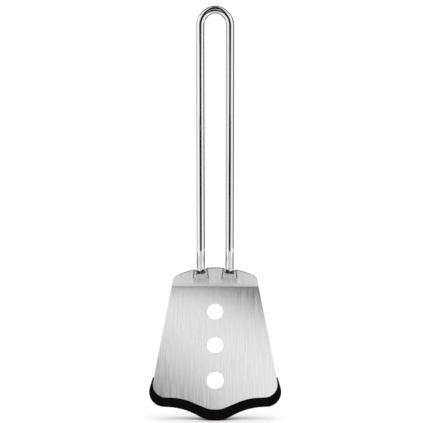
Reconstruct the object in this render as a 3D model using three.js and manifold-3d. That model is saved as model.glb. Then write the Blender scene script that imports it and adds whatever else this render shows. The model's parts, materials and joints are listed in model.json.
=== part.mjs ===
// A kitchen turner: a bent wire handle welded behind a pressed steel blade with a moulded silicone edge.
// Millimetres and degrees, +Z up, the food side towards -Y. The origin is the inside of the loop's top, where
// a hook carries the tool, and every piece lies as the tool hangs from that hook.

import * as THREE from 'three';
import { mergeVertices } from 'three/addons/utils/BufferGeometryUtils.js';
import Module from 'manifold-3d';

// Wire handle: two legs, a loop at the top and a neck bend above the blade
const wireDiameter = 6;
const legSpacingAtLoop = 22.4;
const legSpacingAtNeck = 21.6;
const loopRise = 12.2;
const legLength = 170;
const neckLean = 36;
const neckBendRadius = 12;
const foldToNeckBend = 33.8;

// Blade: a tapered panel below the fold and an arched shoulder above it
const sheetThickness = 1;
const bladeLean = 12;
const foldRadius = 2;
const foldHalfWidth = 32.85;
const sideTaper = 11.07;
const foldToSteelTip = 93.4;
const shoulderHeight = 18.7;
const shoulderArchRadius = 60;
const shoulderCornerRadius = 8;

// Drain holes, each with its drop from the fold
const drainHoles = [
  { diameter: 12.3, drop: 19.2 },
  { diameter: 12.6, drop: 44.6 },
  { diameter: 13, drop: 71.3 },
];

// Wavy line along the blade's foot, where the steel goes under the silicone
const tipRadius = 21.4;
const flankAngle = 23.2;
const hipOffset = 24.5;
const hipRadius = 45;
const footAngle = 2.5;
const cornerRadius = 9.8;

// Pressed hoods in the shoulder that take the ends of the wire
const mouthGap = 2.1;
const hoodFootHeight = 3;
const hoodFootHalfWidth = 7.4;
const hoodSquareness = 3.2;
const wireFit = 0.3;

// Silicone edge: its depth below the wavy line, its own roundings, its ends and its section
const bandAtTip = 9.4;
const bandAtHip = 7.3;
const bandAtCorner = 6.9;
const bandOverhang = 4.25;
const lipTipRadius = 24;
const lipHipRadius = 50;
const lipCornerRadius = 11.4;
const lipEndRun = 3.4;
const lipEndLap = 0.3;
const lipEndOverhang = 0.75;
const lipEndCover = 0.6;
const lipCover = 1.2;
const lipThickness = 1.5;
const noseShare = 0.7;

// Hidden rim of the steel inside the silicone, and the silicone pins through it
const steelShare = 0.5;
const slotGap = 0.15;
const pinCount = 9;
const pinSpacing = 7.6;
const pinDiameter = 1.6;
const pinGap = 0.3;

// Weld metal round each wire end, behind its hood
const weldReach = 3.2;
const weldBelowWire = 2.8;
const weldLength = 6.6;
const weldHeight = 1.9;
const weldGap = 0.3;

// Fineness of the facets
const arcSteps = 8;
const loopSteps = 24;
const curveSegments = 12;
const hoodSteps = 12;
const hoodRows = 12;
const flatSteps = 2;
const foldSteps = 5;
const lipSteps = 2;
const beadSegments = 20;

const wasm = await Module();
wasm.setup();

const { degToRad, lerp, mapLinear, clamp } = THREE.MathUtils;
const fullTurn = 2 * Math.PI;
const rightAngle = Math.PI / 2;
const wireRadius = wireDiameter / 2;
const halfSheet = sheetThickness / 2;
const taper = degToRad(sideTaper);
const foldTurn = degToRad(neckLean + bladeLean);
const foldTangent = foldRadius * Math.tan(foldTurn / 2);

// The head carries the blade, silicone and welds. In its frame the blade's panel is the XZ plane and the fold
// runs along X through the origin.
const loopTop = wireRadius;
const loopFoot = loopTop - loopRise;
const neckBendHeight = loopFoot - legLength;
const head = new THREE.Group();
head.position.y = foldToNeckBend * Math.sin(degToRad(neckLean));
head.position.z = neckBendHeight - foldToNeckBend * Math.cos(degToRad(neckLean));
head.rotation.x = -degToRad(bladeLean);
head.updateMatrix();

// A point given across the shoulder, out of its front face and up from the fold, in the head's frame
function onShoulder(across, out, up) {
  const y = -up * Math.sin(foldTurn) - out * Math.cos(foldTurn);
  const z = up * Math.cos(foldTurn) - out * Math.sin(foldTurn);
  return new THREE.Vector3(across, y, z);
}

// Straight runs between corners, with each inner corner rounded by an arc of its own radius
function roundedRun(corners) {
  const points = [corners[0].point];
  for (let at = 1; at < corners.length - 1; at += 1) {
    const { point, radius } = corners[at];
    const back = corners[at - 1].point.clone().sub(point).normalize();
    const ahead = corners[at + 1].point.clone().sub(point).normalize();
    const halfAngle = back.angleTo(ahead) / 2;
    const centre = back.clone().add(ahead).setLength(radius / Math.sin(halfAngle)).add(point);
    const tangent = radius / Math.tan(halfAngle);
    const first = back.multiplyScalar(tangent).add(point).sub(centre);
    const last = ahead.multiplyScalar(tangent).add(point).sub(centre);
    const turn = first.angleTo(last);
    for (let step = 0; step <= arcSteps; step += 1) {
      const share = step / arcSteps;
      const arm = first.clone().multiplyScalar(Math.sin((1 - share) * turn) / Math.sin(turn));
      arm.addScaledVector(last, Math.sin(share * turn) / Math.sin(turn));
      points.push(arm.add(centre));
    }
  }
  points.push(corners[corners.length - 1].point);
  return points;
}

// A geometry as a closed solid for joining and cutting, and the way back
function toSolid(geometry) {
  const bare = geometry.clone();
  bare.deleteAttribute('normal');
  bare.deleteAttribute('uv');
  const merged = mergeVertices(bare);
  const vertProperties = new Float32Array(merged.attributes.position.array);
  const triVerts = new Uint32Array(merged.index.array);
  return new wasm.Manifold(new wasm.Mesh({ numProp: 3, vertProperties, triVerts }));
}

function toGeometry(solid) {
  const mesh = solid.getMesh();
  const geometry = new THREE.BufferGeometry();
  geometry.setAttribute('position', new THREE.BufferAttribute(mesh.vertProperties, 3));
  geometry.setIndex(new THREE.BufferAttribute(mesh.triVerts, 1));
  geometry.computeVertexNormals();
  return geometry;
}

// A closed skin over rings of points that go round anticlockwise, with the same flat triangles at both ends
function ringSkin(rings, endFaces) {
  const size = rings[0].length;
  const lastRing = (rings.length - 1) * size;
  const index = [];
  for (let start = 0; start < lastRing; start += size) {
    for (let at = 0; at < size; at += 1) {
      const here = start + at;
      const next = start + (at + 1) % size;
      index.push(here, next, next + size, here, next + size, here + size);
    }
  }
  for (const [a, b, c] of endFaces) {
    index.push(a, c, b, lastRing + a, lastRing + b, lastRing + c);
  }
  const positions = rings.flat().flatMap((point) => point.toArray());
  const geometry = new THREE.BufferGeometry();
  geometry.setAttribute('position', new THREE.Float32BufferAttribute(positions, 3));
  geometry.setIndex(index);
  geometry.computeVertexNormals();
  return geometry;
}

// A closed solid between a front and a back surface of like rows
function layerBetween(frontRows, backRows) {
  const rings = frontRows.map((row, at) => [...row, ...backRows[at].slice().reverse()]);
  const lastBack = rings[0].length - 1;
  const endFaces = [];
  for (let at = 0; at < frontRows[0].length - 1; at += 1) {
    endFaces.push([at, at + 1, lastBack - at - 1], [at, lastBack - at - 1, lastBack - at]);
  }
  return ringSkin(rings, endFaces);
}

// Wire handle: its ends lie along the shoulder, behind the hoods
class StationPath extends THREE.Curve {
  constructor(stations) {
    super();
    this.stations = stations;
  }

  getPointAt(share) {
    return this.stations[Math.round(share * (this.stations.length - 1))].clone();
  }

  runFrom(at) {
    return this.stations[at + 1].clone().sub(this.stations[at]).normalize();
  }

  getTangentAt(share, target) {
    const last = this.stations.length - 1;
    const at = Math.round(share * last);
    const arrive = this.runFrom(Math.max(at - 1, 0));
    const leave = this.runFrom(Math.min(at, last - 1));
    return target.addVectors(arrive, leave).normalize();
  }
}

// Half the blade's width at a height above the fold, measured along the sheet
function sideHalfWidth(height) {
  return foldHalfWidth - height * Math.tan(taper);
}

// Height of the shoulder's arched top above the fold
function archHeight(across) {
  return shoulderHeight - shoulderArchRadius + Math.sqrt(shoulderArchRadius ** 2 - across ** 2);
}

// The hood stands clear in front of the wire at its mouth and eases into the shoulder at its foot
const hoodOffset = legSpacingAtNeck / 2;
const hoodHeight = wireRadius + mouthGap + halfSheet;
const mouthHeight = archHeight(hoodOffset);
const mouthHalfWidth = wireRadius + wireFit + halfSheet;

function hoodShare(up) {
  return clamp((up - hoodFootHeight) / (mouthHeight - hoodFootHeight), 0, 1);
}

function hoodRise(up) {
  return hoodHeight * (1 - Math.cos(Math.PI * hoodShare(up))) / 2;
}

function hoodHalfWidth(up) {
  return lerp(hoodFootHalfWidth, mouthHalfWidth, hoodShare(up));
}

// The wire stops where its front comes near the sloping roof of the hood
const roofShare = (wireRadius + wireFit + sheetThickness) / hoodHeight;
const wireEndHeight = lerp(hoodFootHeight, mouthHeight, Math.acos(1 - 2 * roofShare) / Math.PI);

function wireStations() {
  const leg = (side) => {
    const across = side * hoodOffset;
    return roundedRun([
      { point: onShoulder(across, 0, wireEndHeight).applyMatrix4(head.matrix) },
      { point: new THREE.Vector3(across, 0, neckBendHeight), radius: neckBendRadius },
      { point: new THREE.Vector3(side * legSpacingAtLoop / 2, 0, loopFoot) },
    ]);
  };
  const loop = [];
  for (let step = 1; step < loopSteps; step += 1) {
    const turn = Math.PI * step / loopSteps;
    const across = -Math.cos(turn) * legSpacingAtLoop / 2;
    loop.push(new THREE.Vector3(across, 0, loopFoot + loopRise * Math.sin(turn)));
  }
  return [...leg(-1), ...loop, ...leg(1).reverse()];
}

function wireGeometry() {
  const stations = wireStations();
  const section = new THREE.Shape().absarc(0, 0, wireRadius, 0, fullTurn);
  const extrudePath = new StationPath(stations);
  return new THREE.ExtrudeGeometry(section, { extrudePath, steps: stations.length - 1, curveSegments });
}

// Wavy lines from the left end of the silicone to its right end: the steel's visible foot, its hidden rim
// inside the silicone and the lip
function footCorners() {
  const flank = degToRad(flankAngle);
  const foot = degToRad(footAngle);
  const tipZ = -foldToSteelTip - tipRadius * (1 / Math.cos(flank) - 1);
  const hipZ = tipZ + hipOffset * Math.tan(flank);
  const run = (sideHalfWidth(hipZ) - hipOffset) / (1 + Math.tan(foot) * Math.tan(taper));
  const cornerX = hipOffset + run;
  const cornerZ = hipZ + run * Math.tan(foot);
  const endUp = cornerRadius / Math.tan((rightAngle - taper + foot) / 2) + lipEndRun;
  const endX = cornerX - endUp * Math.sin(taper);
  const endZ = cornerZ + endUp * Math.cos(taper);
  return { tipZ, hipZ, cornerX, cornerZ, endX, endZ };
}

function waveLine(tip, hip, side, end) {
  const corner = (mirror, [x, z, radius]) => ({ point: new THREE.Vector3(mirror * x, 0, z), radius });
  const left = [end, side, hip].map((place) => corner(-1, place));
  const right = [tip, hip, side, end].map((place) => corner(1, place));
  return roundedRun([...left, ...right]);
}

function bandLines() {
  const { tipZ, hipZ, cornerX, cornerZ, endX, endZ } = footCorners();
  const bandLine = (share, endOut) => {
    const sideX = cornerX + share * bandOverhang;
    const sideZ = cornerZ - share * bandAtCorner;
    return waveLine(
      [0, tipZ - share * bandAtTip, lerp(tipRadius, lipTipRadius, share)],
      [hipOffset, hipZ - share * bandAtHip, lerp(hipRadius, lipHipRadius, share)],
      [sideX, sideZ, lerp(cornerRadius, lipCornerRadius, share)],
      [endX + endOut * Math.cos(taper), endZ + endOut * Math.sin(taper)],
    );
  };
  return {
    footLine: bandLine(0, -lipEndLap),
    pinLine: bandLine(steelShare / 2, -lipEndLap / 2),
    rimLine: bandLine(steelShare, 0),
    lipLine: bandLine(1, lipEndOverhang),
  };
}

const { footLine, pinLine, rimLine, lipLine } = bandLines();

function flatPoints(line) {
  return line.map((point) => new THREE.Vector2(point.x, point.z));
}

function pinPlaces() {
  const line = new THREE.SplineCurve(flatPoints(pinLine));
  const share = pinSpacing / line.getLength();
  const places = [];
  for (let at = 0; at < pinCount; at += 1) {
    places.push(line.getPointAt(0.5 + share * (at - (pinCount - 1) / 2)));
  }
  return places;
}

// Flat panel below the fold, with the drain holes and the holes for the pins
function bladePanel() {
  const topHalf = sideHalfWidth(-foldTangent);
  const top = [new THREE.Vector2(topHalf, -foldTangent), new THREE.Vector2(-topHalf, -foldTangent)];
  const outline = new THREE.Shape([...flatPoints(rimLine), ...top]);
  const punch = (x, z, radius) => {
    outline.holes.push(new THREE.Path().absarc(x, z, radius, 0, fullTurn, true));
  };
  for (const { diameter, drop } of drainHoles) {
    punch(0, -drop, diameter / 2);
  }
  for (const place of pinPlaces()) {
    punch(place.x, place.y, pinDiameter / 2 + pinGap);
  }
  const depth = sheetThickness;
  const panel = new THREE.ExtrudeGeometry(outline, { depth, bevelEnabled: false, curveSegments });
  return panel.rotateX(rightAngle).translate(0, halfSheet, 0);
}

// One row across the sheet's middle surface: flat stretches, and an arch over each hood
function shoulderRow(halfWidth, up, place) {
  const flare = hoodHalfWidth(up);
  const rise = hoodRise(up);
  const row = [];
  const flat = (from, to) => {
    for (let step = 0; step < flatSteps; step += 1) {
      row.push(place(lerp(from, to, step / flatSteps), 0));
    }
  };
  const bulge = (value) => Math.sign(value) * Math.abs(value) ** (2 / hoodSquareness);
  const hood = (centre) => {
    for (let step = 0; step < hoodSteps; step += 1) {
      const turn = Math.PI * step / hoodSteps;
      row.push(place(centre - flare * bulge(Math.cos(turn)), rise * bulge(Math.sin(turn))));
    }
  };
  flat(-halfWidth, -hoodOffset - flare);
  hood(-hoodOffset);
  flat(-hoodOffset + flare, hoodOffset - flare);
  hood(hoodOffset);
  flat(hoodOffset + flare, halfWidth);
  row.push(place(halfWidth, 0));
  return row;
}

// Rows of the middle surface: round the fold, then up the shoulder to just above its arched top
function foldRows() {
  const rows = [];
  for (let step = 0; step <= foldSteps; step += 1) {
    const turn = foldTurn * step / foldSteps;
    const y = foldRadius * (Math.cos(turn) - 1);
    const z = foldRadius * Math.sin(turn) - foldTangent;
    const height = mapLinear(step, 0, foldSteps, -foldTangent, foldTangent);
    rows.push(shoulderRow(sideHalfWidth(height), 0, (across) => new THREE.Vector3(across, y, z)));
  }
  return rows;
}

function pressedRows() {
  const rows = [];
  for (let step = 0; step <= hoodRows; step += 1) {
    const up = lerp(hoodFootHeight, shoulderHeight + sheetThickness, step / hoodRows);
    rows.push(shoulderRow(sideHalfWidth(up), up, (across, out) => onShoulder(across, out, up)));
  }
  return rows;
}

// A surface moved towards its front by a distance
function offsetRows(rows, distance) {
  return rows.map((row, i) => row.map((point, j) => {
    const below = rows[Math.max(i - 1, 0)][j];
    const above = rows[Math.min(i + 1, rows.length - 1)][j];
    const left = row[Math.max(j - 1, 0)];
    const right = row[Math.min(j + 1, row.length - 1)];
    const front = right.clone().sub(left).cross(above.clone().sub(below)).normalize();
    return point.clone().addScaledVector(front, distance);
  }));
}

// What is trimmed off above the arched top and its rounded corners
function shoulderCrest() {
  const archCentre = shoulderHeight - shoulderArchRadius;
  const outward = new THREE.Vector2(Math.cos(taper), Math.sin(taper));
  const side = new THREE.Vector2(-Math.sin(taper), Math.cos(taper));
  const start = new THREE.Vector2(foldHalfWidth, 0).addScaledVector(outward, -shoulderCornerRadius);
  const fromArch = start.clone().sub(new THREE.Vector2(0, archCentre));
  const nearest = -fromArch.dot(side);
  const reach = (shoulderArchRadius - shoulderCornerRadius) ** 2 - fromArch.lengthSq() + nearest ** 2;
  const centre = start.addScaledVector(side, nearest + Math.sqrt(reach));
  const leave = centre.clone().addScaledVector(outward, shoulderCornerRadius);
  const archTurn = Math.atan2(centre.y - archCentre, centre.x);
  const wide = 2 * foldHalfWidth;
  const high = 2 * shoulderHeight;
  const crest = new THREE.Shape();
  crest.moveTo(wide, leave.y);
  crest.lineTo(wide, high);
  crest.lineTo(-wide, high);
  crest.lineTo(-wide, leave.y);
  crest.lineTo(-leave.x, leave.y);
  crest.absarc(-centre.x, centre.y, shoulderCornerRadius, Math.PI - taper, Math.PI - archTurn, true);
  crest.absarc(0, archCentre, shoulderArchRadius, Math.PI - archTurn, archTurn, true);
  crest.absarc(centre.x, centre.y, shoulderCornerRadius, archTurn, taper, true);
  const depth = 4 * hoodHeight;
  const block = new THREE.ExtrudeGeometry(crest, { depth, bevelEnabled: false, curveSegments });
  return block.translate(0, 0, -depth / 2).rotateX(rightAngle + foldTurn);
}

function bladeGeometry() {
  const middle = [...foldRows(), ...pressedRows()];
  const shoulder = toSolid(layerBetween(offsetRows(middle, halfSheet), offsetRows(middle, -halfSheet)));
  return toGeometry(shoulder.subtract(toSolid(shoulderCrest())).add(toSolid(bladePanel())));
}

// Silicone edge: one section carried along the foot, with a slot for the steel's rim and pins across the slot
function lipSection(width, slotDepth, cover) {
  const thick = halfSheet + cover;
  const thin = Math.min(lipThickness / 2, thick);
  const slotWall = halfSheet + slotGap;
  const round = Math.min(cover, slotDepth) / 2;
  const nose = Math.min(thin, noseShare * (width - slotDepth));
  const turns = Array.from({ length: lipSteps }, (_, step) => rightAngle * step / lipSteps);
  const back = [
    [0, slotWall],
    ...turns.map((turn) => [round * (1 - Math.cos(turn)), thick - round * (1 - Math.sin(turn))]),
    [round, thick],
    ...turns.map((turn) => [width - nose * (1 - Math.sin(turn)), thin * Math.cos(turn)]),
  ];
  const front = back.map(([depth, out]) => [depth, -out]);
  return [...front, [width, 0], ...back.reverse(), [slotDepth, slotWall], [slotDepth, -slotWall]];
}

function siliconeGeometry() {
  const widths = footLine.map((point, at) => point.distanceTo(lipLine[at]));
  const widest = Math.max(...widths);
  const sections = widths.map((width, at) => {
    const cover = mapLinear(width, widths[0], widest, lipEndCover, lipCover);
    return lipSection(width, footLine[at].distanceTo(rimLine[at]) + slotGap, cover);
  });
  const rings = sections.map((section, at) => section.map(([depth, y]) => (
    footLine[at].clone().lerp(lipLine[at], depth / widths[at]).setY(y)
  )));
  const endOutline = sections[0].map(([depth, y]) => new THREE.Vector2(y, -depth));
  let edge = toSolid(ringSkin(rings, THREE.ShapeUtils.triangulateShape(endOutline, [])));
  const pinLength = sheetThickness + lipCover;
  for (const place of pinPlaces()) {
    const pin = new THREE.CylinderGeometry(pinDiameter / 2, pinDiameter / 2, pinLength, curveSegments);
    edge = edge.add(toSolid(pin.translate(place.x, 0, place.y)));
  }
  return toGeometry(edge);
}

// Weld metal behind a hood: a bead that fits round the wire's end and against the back of the sheet
function weldGeometry(across) {
  const beadHeight = wireEndHeight - weldBelowWire + weldLength / 2;
  const beadPlace = onShoulder(across, -halfSheet, beadHeight);
  const bead = new THREE.SphereGeometry(1, beadSegments, beadSegments);
  bead.scale(wireRadius + weldReach, weldHeight, weldLength / 2);
  bead.rotateX(foldTurn).translate(...beadPlace.toArray());
  const hoodArea = pressedRows();
  const forward = onShoulder(0, 2 * hoodHeight, 0);
  const inFront = hoodArea.map((row) => row.map((point) => point.clone().add(forward)));
  const sheet = layerBetween(inFront, offsetRows(hoodArea, -halfSheet - weldGap));
  const roomRadius = wireRadius + weldGap;
  const roomEnd = wireEndHeight - weldGap;
  const room = new THREE.CylinderGeometry(roomRadius, roomRadius, weldLength, 2 * curveSegments);
  room.rotateX(rightAngle + foldTurn).translate(...onShoulder(across, 0, roomEnd + weldLength / 2).toArray());
  return toGeometry(toSolid(bead).subtract(toSolid(sheet)).subtract(toSolid(room)));
}

function piece(name, geometry, color, roughness, metalness) {
  const mesh = new THREE.Mesh(geometry, new THREE.MeshStandardMaterial({ color, roughness, metalness }));
  mesh.name = name;
  return mesh;
}

head.add(piece('blade', bladeGeometry(), '#c9cacc', 0.34, 1));
head.add(piece('silicone_edge', siliconeGeometry(), '#131314', 0.55, 0));
head.add(piece('weld_left', weldGeometry(-hoodOffset), '#a19d97', 0.45, 1));
head.add(piece('weld_right', weldGeometry(hoodOffset), '#a19d97', 0.45, 1));

const turner = new THREE.Group();
turner.add(piece('wire_handle', wireGeometry(), '#d8d9db', 0.12, 1), head);

export default turner;
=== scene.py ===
"""A kitchen turner on a white stage: a looped wire handle, a pressed steel blade and a silicone edge."""

import json
import math

import bmesh
import bpy
from bpy.props import FloatProperty, FloatVectorProperty, IntProperty, PointerProperty, StringProperty
from mathutils import Matrix, Quaternion, Vector


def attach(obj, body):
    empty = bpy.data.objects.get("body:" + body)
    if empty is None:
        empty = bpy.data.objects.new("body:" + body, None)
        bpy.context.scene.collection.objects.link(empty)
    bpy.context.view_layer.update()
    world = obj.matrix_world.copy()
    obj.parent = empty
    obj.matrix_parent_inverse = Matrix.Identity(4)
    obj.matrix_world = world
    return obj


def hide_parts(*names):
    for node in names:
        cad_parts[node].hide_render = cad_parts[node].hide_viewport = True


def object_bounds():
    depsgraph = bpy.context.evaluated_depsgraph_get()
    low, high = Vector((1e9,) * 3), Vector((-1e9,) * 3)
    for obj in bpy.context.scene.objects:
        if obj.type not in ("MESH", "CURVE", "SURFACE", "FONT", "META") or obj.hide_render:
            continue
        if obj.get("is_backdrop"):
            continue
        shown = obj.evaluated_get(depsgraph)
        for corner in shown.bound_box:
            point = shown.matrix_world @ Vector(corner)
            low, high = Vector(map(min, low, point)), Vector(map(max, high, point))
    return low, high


bl_info = {
    "name": "Kitchen turner",
    "version": (1, 0, 0),
    "blender": (4, 5, 0),
    "location": "3D View > Sidebar > Turner",
    "description": "Builds a wire-handled kitchen turner with a brushed blade and a silicone edge",
    "category": "Add Mesh",
}

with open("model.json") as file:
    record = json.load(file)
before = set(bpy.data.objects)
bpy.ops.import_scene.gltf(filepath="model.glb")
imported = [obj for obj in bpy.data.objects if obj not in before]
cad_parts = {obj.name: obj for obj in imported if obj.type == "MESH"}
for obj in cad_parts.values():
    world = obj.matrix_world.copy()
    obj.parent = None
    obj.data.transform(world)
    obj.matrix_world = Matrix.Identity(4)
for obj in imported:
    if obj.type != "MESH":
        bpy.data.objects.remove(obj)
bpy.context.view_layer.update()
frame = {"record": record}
MOUNTS = {mount["name"]: mount for mount in frame["record"]["mounts"]}
HOOK = Vector(MOUNTS["hang_loop"]["pos_m"])
BACK_AXIS = Vector(MOUNTS["blade_back"]["axis"])
BLADE_LEAN = math.degrees(math.atan2(-BACK_AXIS.z, BACK_AXIS.y))
BODY = "root"
MM = 0.001
SMOOTH_BELOW = math.radians(16)
# Most values of a noise lie in this range.
NOISE_RANGE = {"From Min": 0.3, "From Max": 0.7}


# Settings

def length(name, description, millimetres):
    """A length that the user can change, given in millimetres."""
    return FloatProperty(name=name, description=description, default=millimetres * MM, unit="LENGTH",
                         precision=5)


def lengths(name, description, *millimetres):
    """Three lengths that the user can change, given in millimetres."""
    return FloatVectorProperty(name=name, description=description, default=[mm * MM for mm in millimetres],
                               unit="LENGTH", precision=5)


def angle(name, description, degrees):
    """An angle that the user can change, given in degrees."""
    return FloatProperty(name=name, description=description, default=math.radians(degrees), subtype="ANGLE")


def portion(name, description, part):
    """A part of a whole that the user can change, from 0 to 1."""
    return FloatProperty(name=name, description=description, default=part, subtype="FACTOR", min=0, max=1)


class WireSizes(bpy.types.PropertyGroup):
    """Sizes of the bent wire"""
    diameter: length("Diameter", "Thickness of the round wire", 6)
    spacing_at_loop: length("Spacing at the loop", "Distance between the legs' centres under the loop", 22.4)
    spacing_at_neck: length("Spacing at the neck", "Distance between the legs' centres at the blade", 21.6)
    loop_rise: length("Loop rise", "Height of the loop above the straight legs", 12.2)
    leg_length: length("Leg length", "Straight length of the handle down to the neck bend", 170)
    neck_lean: angle("Neck lean", "How far the neck and shoulder lean from the handle", 36)
    neck_bend_radius: length("Neck bend radius", "Radius of the bend above the blade", 12)
    neck_length: length("Neck length", "Distance from the neck bend to the blade's fold", 33.8)
    sides: IntProperty(name="Sides", description="Facets round the wire", default=64, min=8)


class BladeSizes(bpy.types.PropertyGroup):
    """Sizes of the pressed sheet"""
    thickness: length("Sheet thickness", "Thickness of the steel sheet", 1)
    lean: angle("Blade lean", "How far the panel leans back", BLADE_LEAN)
    fold_radius: length("Fold radius", "Radius of the fold at the sheet's middle", 0.8)
    fold_half_width: length("Half width at the fold", "Half the blade's width along the fold", 32.85)
    side_taper: angle("Side taper", "How far each side leans from the middle line", 11.07)
    steel_tip: length("Steel tip", "Distance from the fold down to the steel's visible tip", 93.4)
    shoulder_height: length("Shoulder height", "Height of the arched top above the fold", 18.7)
    arch_radius: length("Arch radius", "Radius of the arched top", 60)
    corner_radius: length("Shoulder corner radius", "Radius of the top corners", 8)
    edge_radius: length("Edge rounding", "Radius that deburring leaves on the cut edges", 0.12)
    hole_diameters: lengths("Hole diameters", "Drain holes from the top down", 12.3, 12.6, 13)
    hole_drops: lengths("Hole drops", "Distance of each hole's centre from the fold", 19.2, 44.6, 71.3)


class WaveSizes(bpy.types.PropertyGroup):
    """Sizes of the wavy foot, where the steel goes under the silicone"""
    tip_radius: length("Tip radius", "Rounding of the middle tip", 21.4)
    flank_angle: angle("Flank angle", "Slope beside the tip", 23.2)
    hip_offset: length("Hip offset", "Distance of each hip from the middle", 24.5)
    hip_radius: length("Hip radius", "Rounding of the hips", 45)
    foot_angle: angle("Foot angle", "Slope of the foot towards the corners", 2.5)
    corner_radius: length("Corner radius", "Rounding of the lower corners", 9.8)


class HoodSizes(bpy.types.PropertyGroup):
    """Sizes of the pressed hoods that take the wire's ends"""
    mouth_gap: length("Mouth gap", "Room between the wire's front and the hood", 1.5)
    mouth_slant: angle("Mouth slant", "How far the mouth's front is cut lower than its back", 13)
    foot_height: length("Foot height", "Where the hood starts above the fold", 3)
    foot_half_width: length("Foot half width", "Half the hood's width at its foot", 5.6)
    wire_fit: length("Wire fit", "Room beside the wire", 0.3)
    foot_run: length("Foot run", "How far the hood's walls lean in at its foot", 1.2)
    wall_run: length("Wall run", "How far the hood's walls lean in at its mouth", 0.5)
    roof_radius: length("Roof radius", "Rounding between the roof and the walls", 0.55)
    base_radius: length("Base radius", "Rounding between the walls and the shoulder", 0.7)


class SiliconeSizes(bpy.types.PropertyGroup):
    """Sizes of the moulded edge"""
    band_at_tip: length("Depth at the tip", "Depth of the band below the steel's tip", 9.4)
    band_at_hip: length("Depth at the hips", "Depth of the band below the hips", 7.3)
    band_at_corner: length("Depth at the corners", "Depth of the band below the corners", 6.9)
    overhang: length("Overhang", "How far the band stands out at the corners", 4.25)
    tip_radius: length("Lip tip radius", "Rounding of the lip's tip", 24)
    hip_radius: length("Lip hip radius", "Rounding of the lip's hips", 50)
    corner_radius: length("Lip corner radius", "Rounding of the lip's corners", 11.4)
    end_run: length("End run", "How far the ends climb the blade's sides", 3.4)
    end_lap: length("End lap", "How far the ends lap over the steel", 0.3)
    end_overhang: length("End overhang", "How far the ends stand out beside the steel", 0.75)
    end_cover: length("Cover at the ends", "Silicone in front of the steel at the ends", 0.6)
    cover: length("Cover", "Silicone in front of the steel at the tip", 1.2)
    lip_thickness: length("Lip thickness", "Thickness of the free lip", 1.5)
    slot_gap: length("Slot gap", "Room round the steel's hidden rim", 0.15)
    steel_share: portion("Steel share", "Share of the band that the steel's rim reaches into", 0.5)
    nose_share: portion("Nose share", "Largest rounding of the lip as a share of its depth", 0.7)


class WeldSizes(bpy.types.PropertyGroup):
    """Sizes of the weld beads behind the hoods"""
    reach: length("Reach", "How far the bead reaches beside the wire", 3.2)
    below: length("Below the wire", "How far the bead reaches below the wire's end", 3.5)
    run: length("Run", "Height of the bead along the wire", 6.6)
    height: length("Height", "How far the bead stands out of the sheet's back", 1.9)
    ripple_spacing: length("Ripple spacing", "Distance between the ripples of the bead", 0.95)
    ripple_height: portion("Ripple height", "Depth of the ripples as a share of the bead", 0.06)


class StageSizes(bpy.types.PropertyGroup):
    """Camera of the photograph"""
    pixel: length("Pixel size", "What one pixel of the picture covers at the handle", 0.75)
    picture: IntProperty(name="Picture width", description="Width of the square picture in pixels",
                         default=423)
    sensor: FloatProperty(name="Sensor width", description="Width of the camera's sensor in millimetres",
                          default=36)
    distance: length("Distance", "Distance of the camera from the handle", 2500)
    elevation: angle("Elevation", "Height of the camera above the horizon", 4)
    aim: lengths("Aim", "Point in the middle of the picture", -2.775, 0, -148.26)


class Finishes(bpy.types.PropertyGroup):
    """Colours of the pieces, as sRGB hex values"""
    wire: StringProperty(name="Wire", description="Colour of the polished wire", default="#f0f0f1")
    blade: StringProperty(name="Blade", description="Colour of the brushed sheet", default="#ededed")
    silicone: StringProperty(name="Silicone", description="Colour of the moulded edge", default="#040404")
    weld: StringProperty(name="Weld", description="Colour of the cleaned weld metal", default="#b5b1ab")
    heat: StringProperty(name="Heat tint", description="Colour that heat leaves on a weld", default="#8f877b")


class TurnerSettings(bpy.types.PropertyGroup):
    """All settings of the turner"""
    wire: PointerProperty(type=WireSizes)
    blade: PointerProperty(type=BladeSizes)
    wave: PointerProperty(type=WaveSizes)
    hood: PointerProperty(type=HoodSizes)
    silicone: PointerProperty(type=SiliconeSizes)
    weld: PointerProperty(type=WeldSizes)
    stage: PointerProperty(type=StageSizes)
    finish: PointerProperty(type=Finishes)


# Helpers

def lerp(start, end, share):
    """The value or point at a share of the way from start to end."""
    return start + (end - start) * share


def spread(start, end, count):
    """Evenly spaced values from start to end, both included."""
    return [lerp(start, end, at / (count - 1)) for at in range(count)]


def rounded_run(corners, steps):
    """Straight runs between (point, radius) corners, with each inner corner rounded by an arc."""
    points = [corners[0][0]]
    for (before, _), (point, radius), (after, _) in zip(corners, corners[1:], corners[2:]):
        back = (before - point).normalized()
        ahead = (after - point).normalized()
        half_angle = back.angle(ahead) / 2
        centre = point + (back + ahead).normalized() * radius / math.sin(half_angle)
        first = point + back * radius / math.tan(half_angle) - centre
        axis = (-back).cross(ahead)
        for turn in spread(0, math.pi - 2 * half_angle, steps + 1):
            points.append(centre + Quaternion(axis, turn) @ first)
    points.append(corners[-1][0])
    return points


def linear(hex_colour):
    """An sRGB hex colour as a linear RGBA value."""
    channels = [int(hex_colour[at:at + 2], 16) / 255 for at in (1, 3, 5)]
    return (*[c / 12.92 if c <= 0.04045 else ((c + 0.055) / 1.055) ** 2.4 for c in channels], 1)


def add(tree, kind, inputs=None, **settings):
    """A new node with its settings, input values and links. A node as an input links its first output."""
    made = tree.nodes.new(kind)
    for name, value in settings.items():
        setattr(made, name, value)
    for name, value in (inputs or {}).items():
        if isinstance(value, bpy.types.Node):
            value = value.outputs[0]
        if isinstance(value, bpy.types.NodeSocket):
            tree.links.new(value, made.inputs[name])
        else:
            made.inputs[name].default_value = value
    return made


def blank_material(name):
    """An empty node material and its tree."""
    material = bpy.data.materials.new(name)
    material.use_nodes = True
    material.node_tree.nodes.clear()
    return material, material.node_tree


def placed(name, data):
    """A new object at the scene's origin."""
    made = bpy.data.objects.new(name, data)
    bpy.context.scene.collection.objects.link(made)
    return made


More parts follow.
